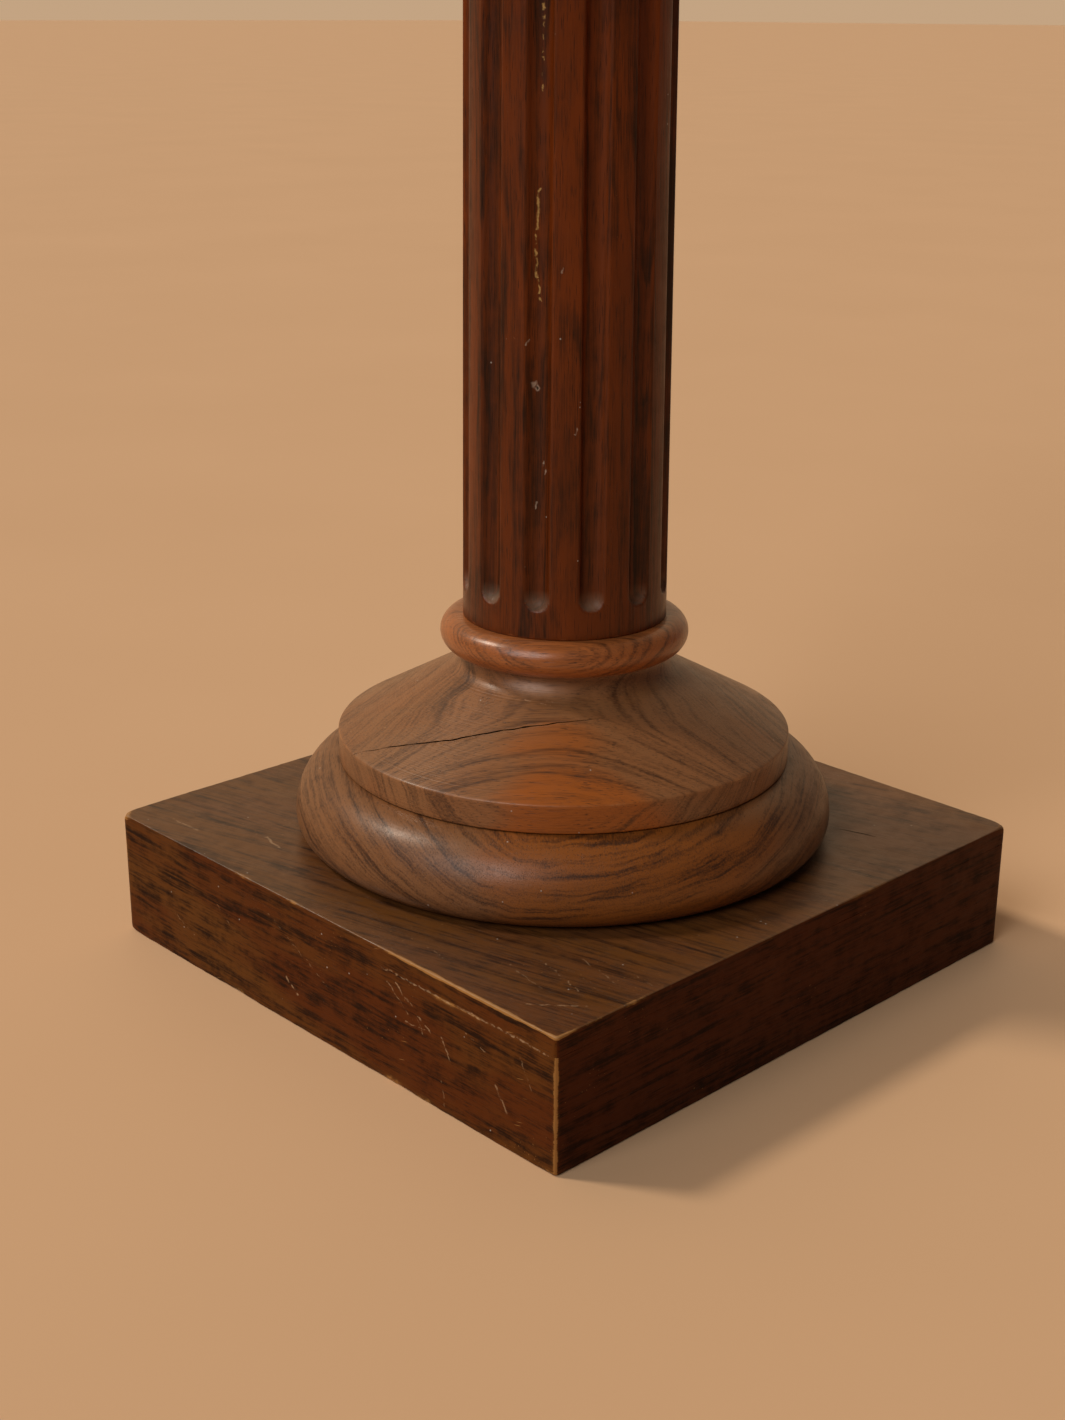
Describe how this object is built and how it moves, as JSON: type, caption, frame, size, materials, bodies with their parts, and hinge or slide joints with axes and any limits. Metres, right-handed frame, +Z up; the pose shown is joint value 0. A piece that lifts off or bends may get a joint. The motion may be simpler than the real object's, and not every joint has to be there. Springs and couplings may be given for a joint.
{
  "type": "column display stand",
  "caption": "Tall fluted wooden column stand on a boxed square plinth with a torus, flared disc and bead, and a flat square top to stand an instrument or ornament on.",
  "frame": {"origin": "centre of the plinth's underside, on the floor", "axes": "+Z up along the column's axis; X and Y square to the plinth's sides, with the front rail on the -Y side"},
  "size_m": [0.305, 0.305, 1.0668],
  "materials": {
    "plinth_wood": "very dark stained hardwood, dull wax, edges worn to pale wood",
    "torus_wood": "grey-brown stained hardwood, satin, streaky grain",
    "disc_wood": "reddish-brown stained hardwood, satin, fine drying checks",
    "bead_wood": "orange-red stained hardwood, semi-gloss",
    "shaft_wood": "dark red-brown stained hardwood, semi-gloss, worn flute edges",
    "raw_wood": "unfinished sawn hardwood",
    "plated_steel": "dull zinc-plated steel"
  },
  "bodies": {
    "root": {"plinth_rail_front": "plinth_wood", "plinth_rail_right": "plinth_wood", "plinth_rail_back": "plinth_wood", "plinth_rail_left": "plinth_wood", "plinth_top_board": "plinth_wood", "corner_block_1": "raw_wood", "corner_block_2": "raw_wood", "corner_block_3": "raw_wood", "corner_block_4": "raw_wood", "tie_rod_bearer": "raw_wood", "base_torus": "torus_wood", "base_disc": "disc_wood", "base_bead": "bead_wood", "disc_dowel_1": "raw_wood", "disc_dowel_2": "raw_wood", "disc_dowel_3": "raw_wood", "disc_dowel_4": "raw_wood", "fluted_shaft": "shaft_wood", "neck_bead": "bead_wood", "capital": "disc_wood", "top_board": "plinth_wood", "tie_rod": "plated_steel", "washer_lower": "plated_steel", "washer_upper": "plated_steel", "nut_lower": "plated_steel", "nut_upper": "plated_steel", "base_screw_1": "plated_steel", "base_screw_2": "plated_steel", "base_screw_3": "plated_steel", "base_screw_4": "plated_steel", "top_screw_1": "plated_steel", "top_screw_2": "plated_steel", "top_screw_3": "plated_steel", "top_screw_4": "plated_steel"}
  },
  "joints": []
}
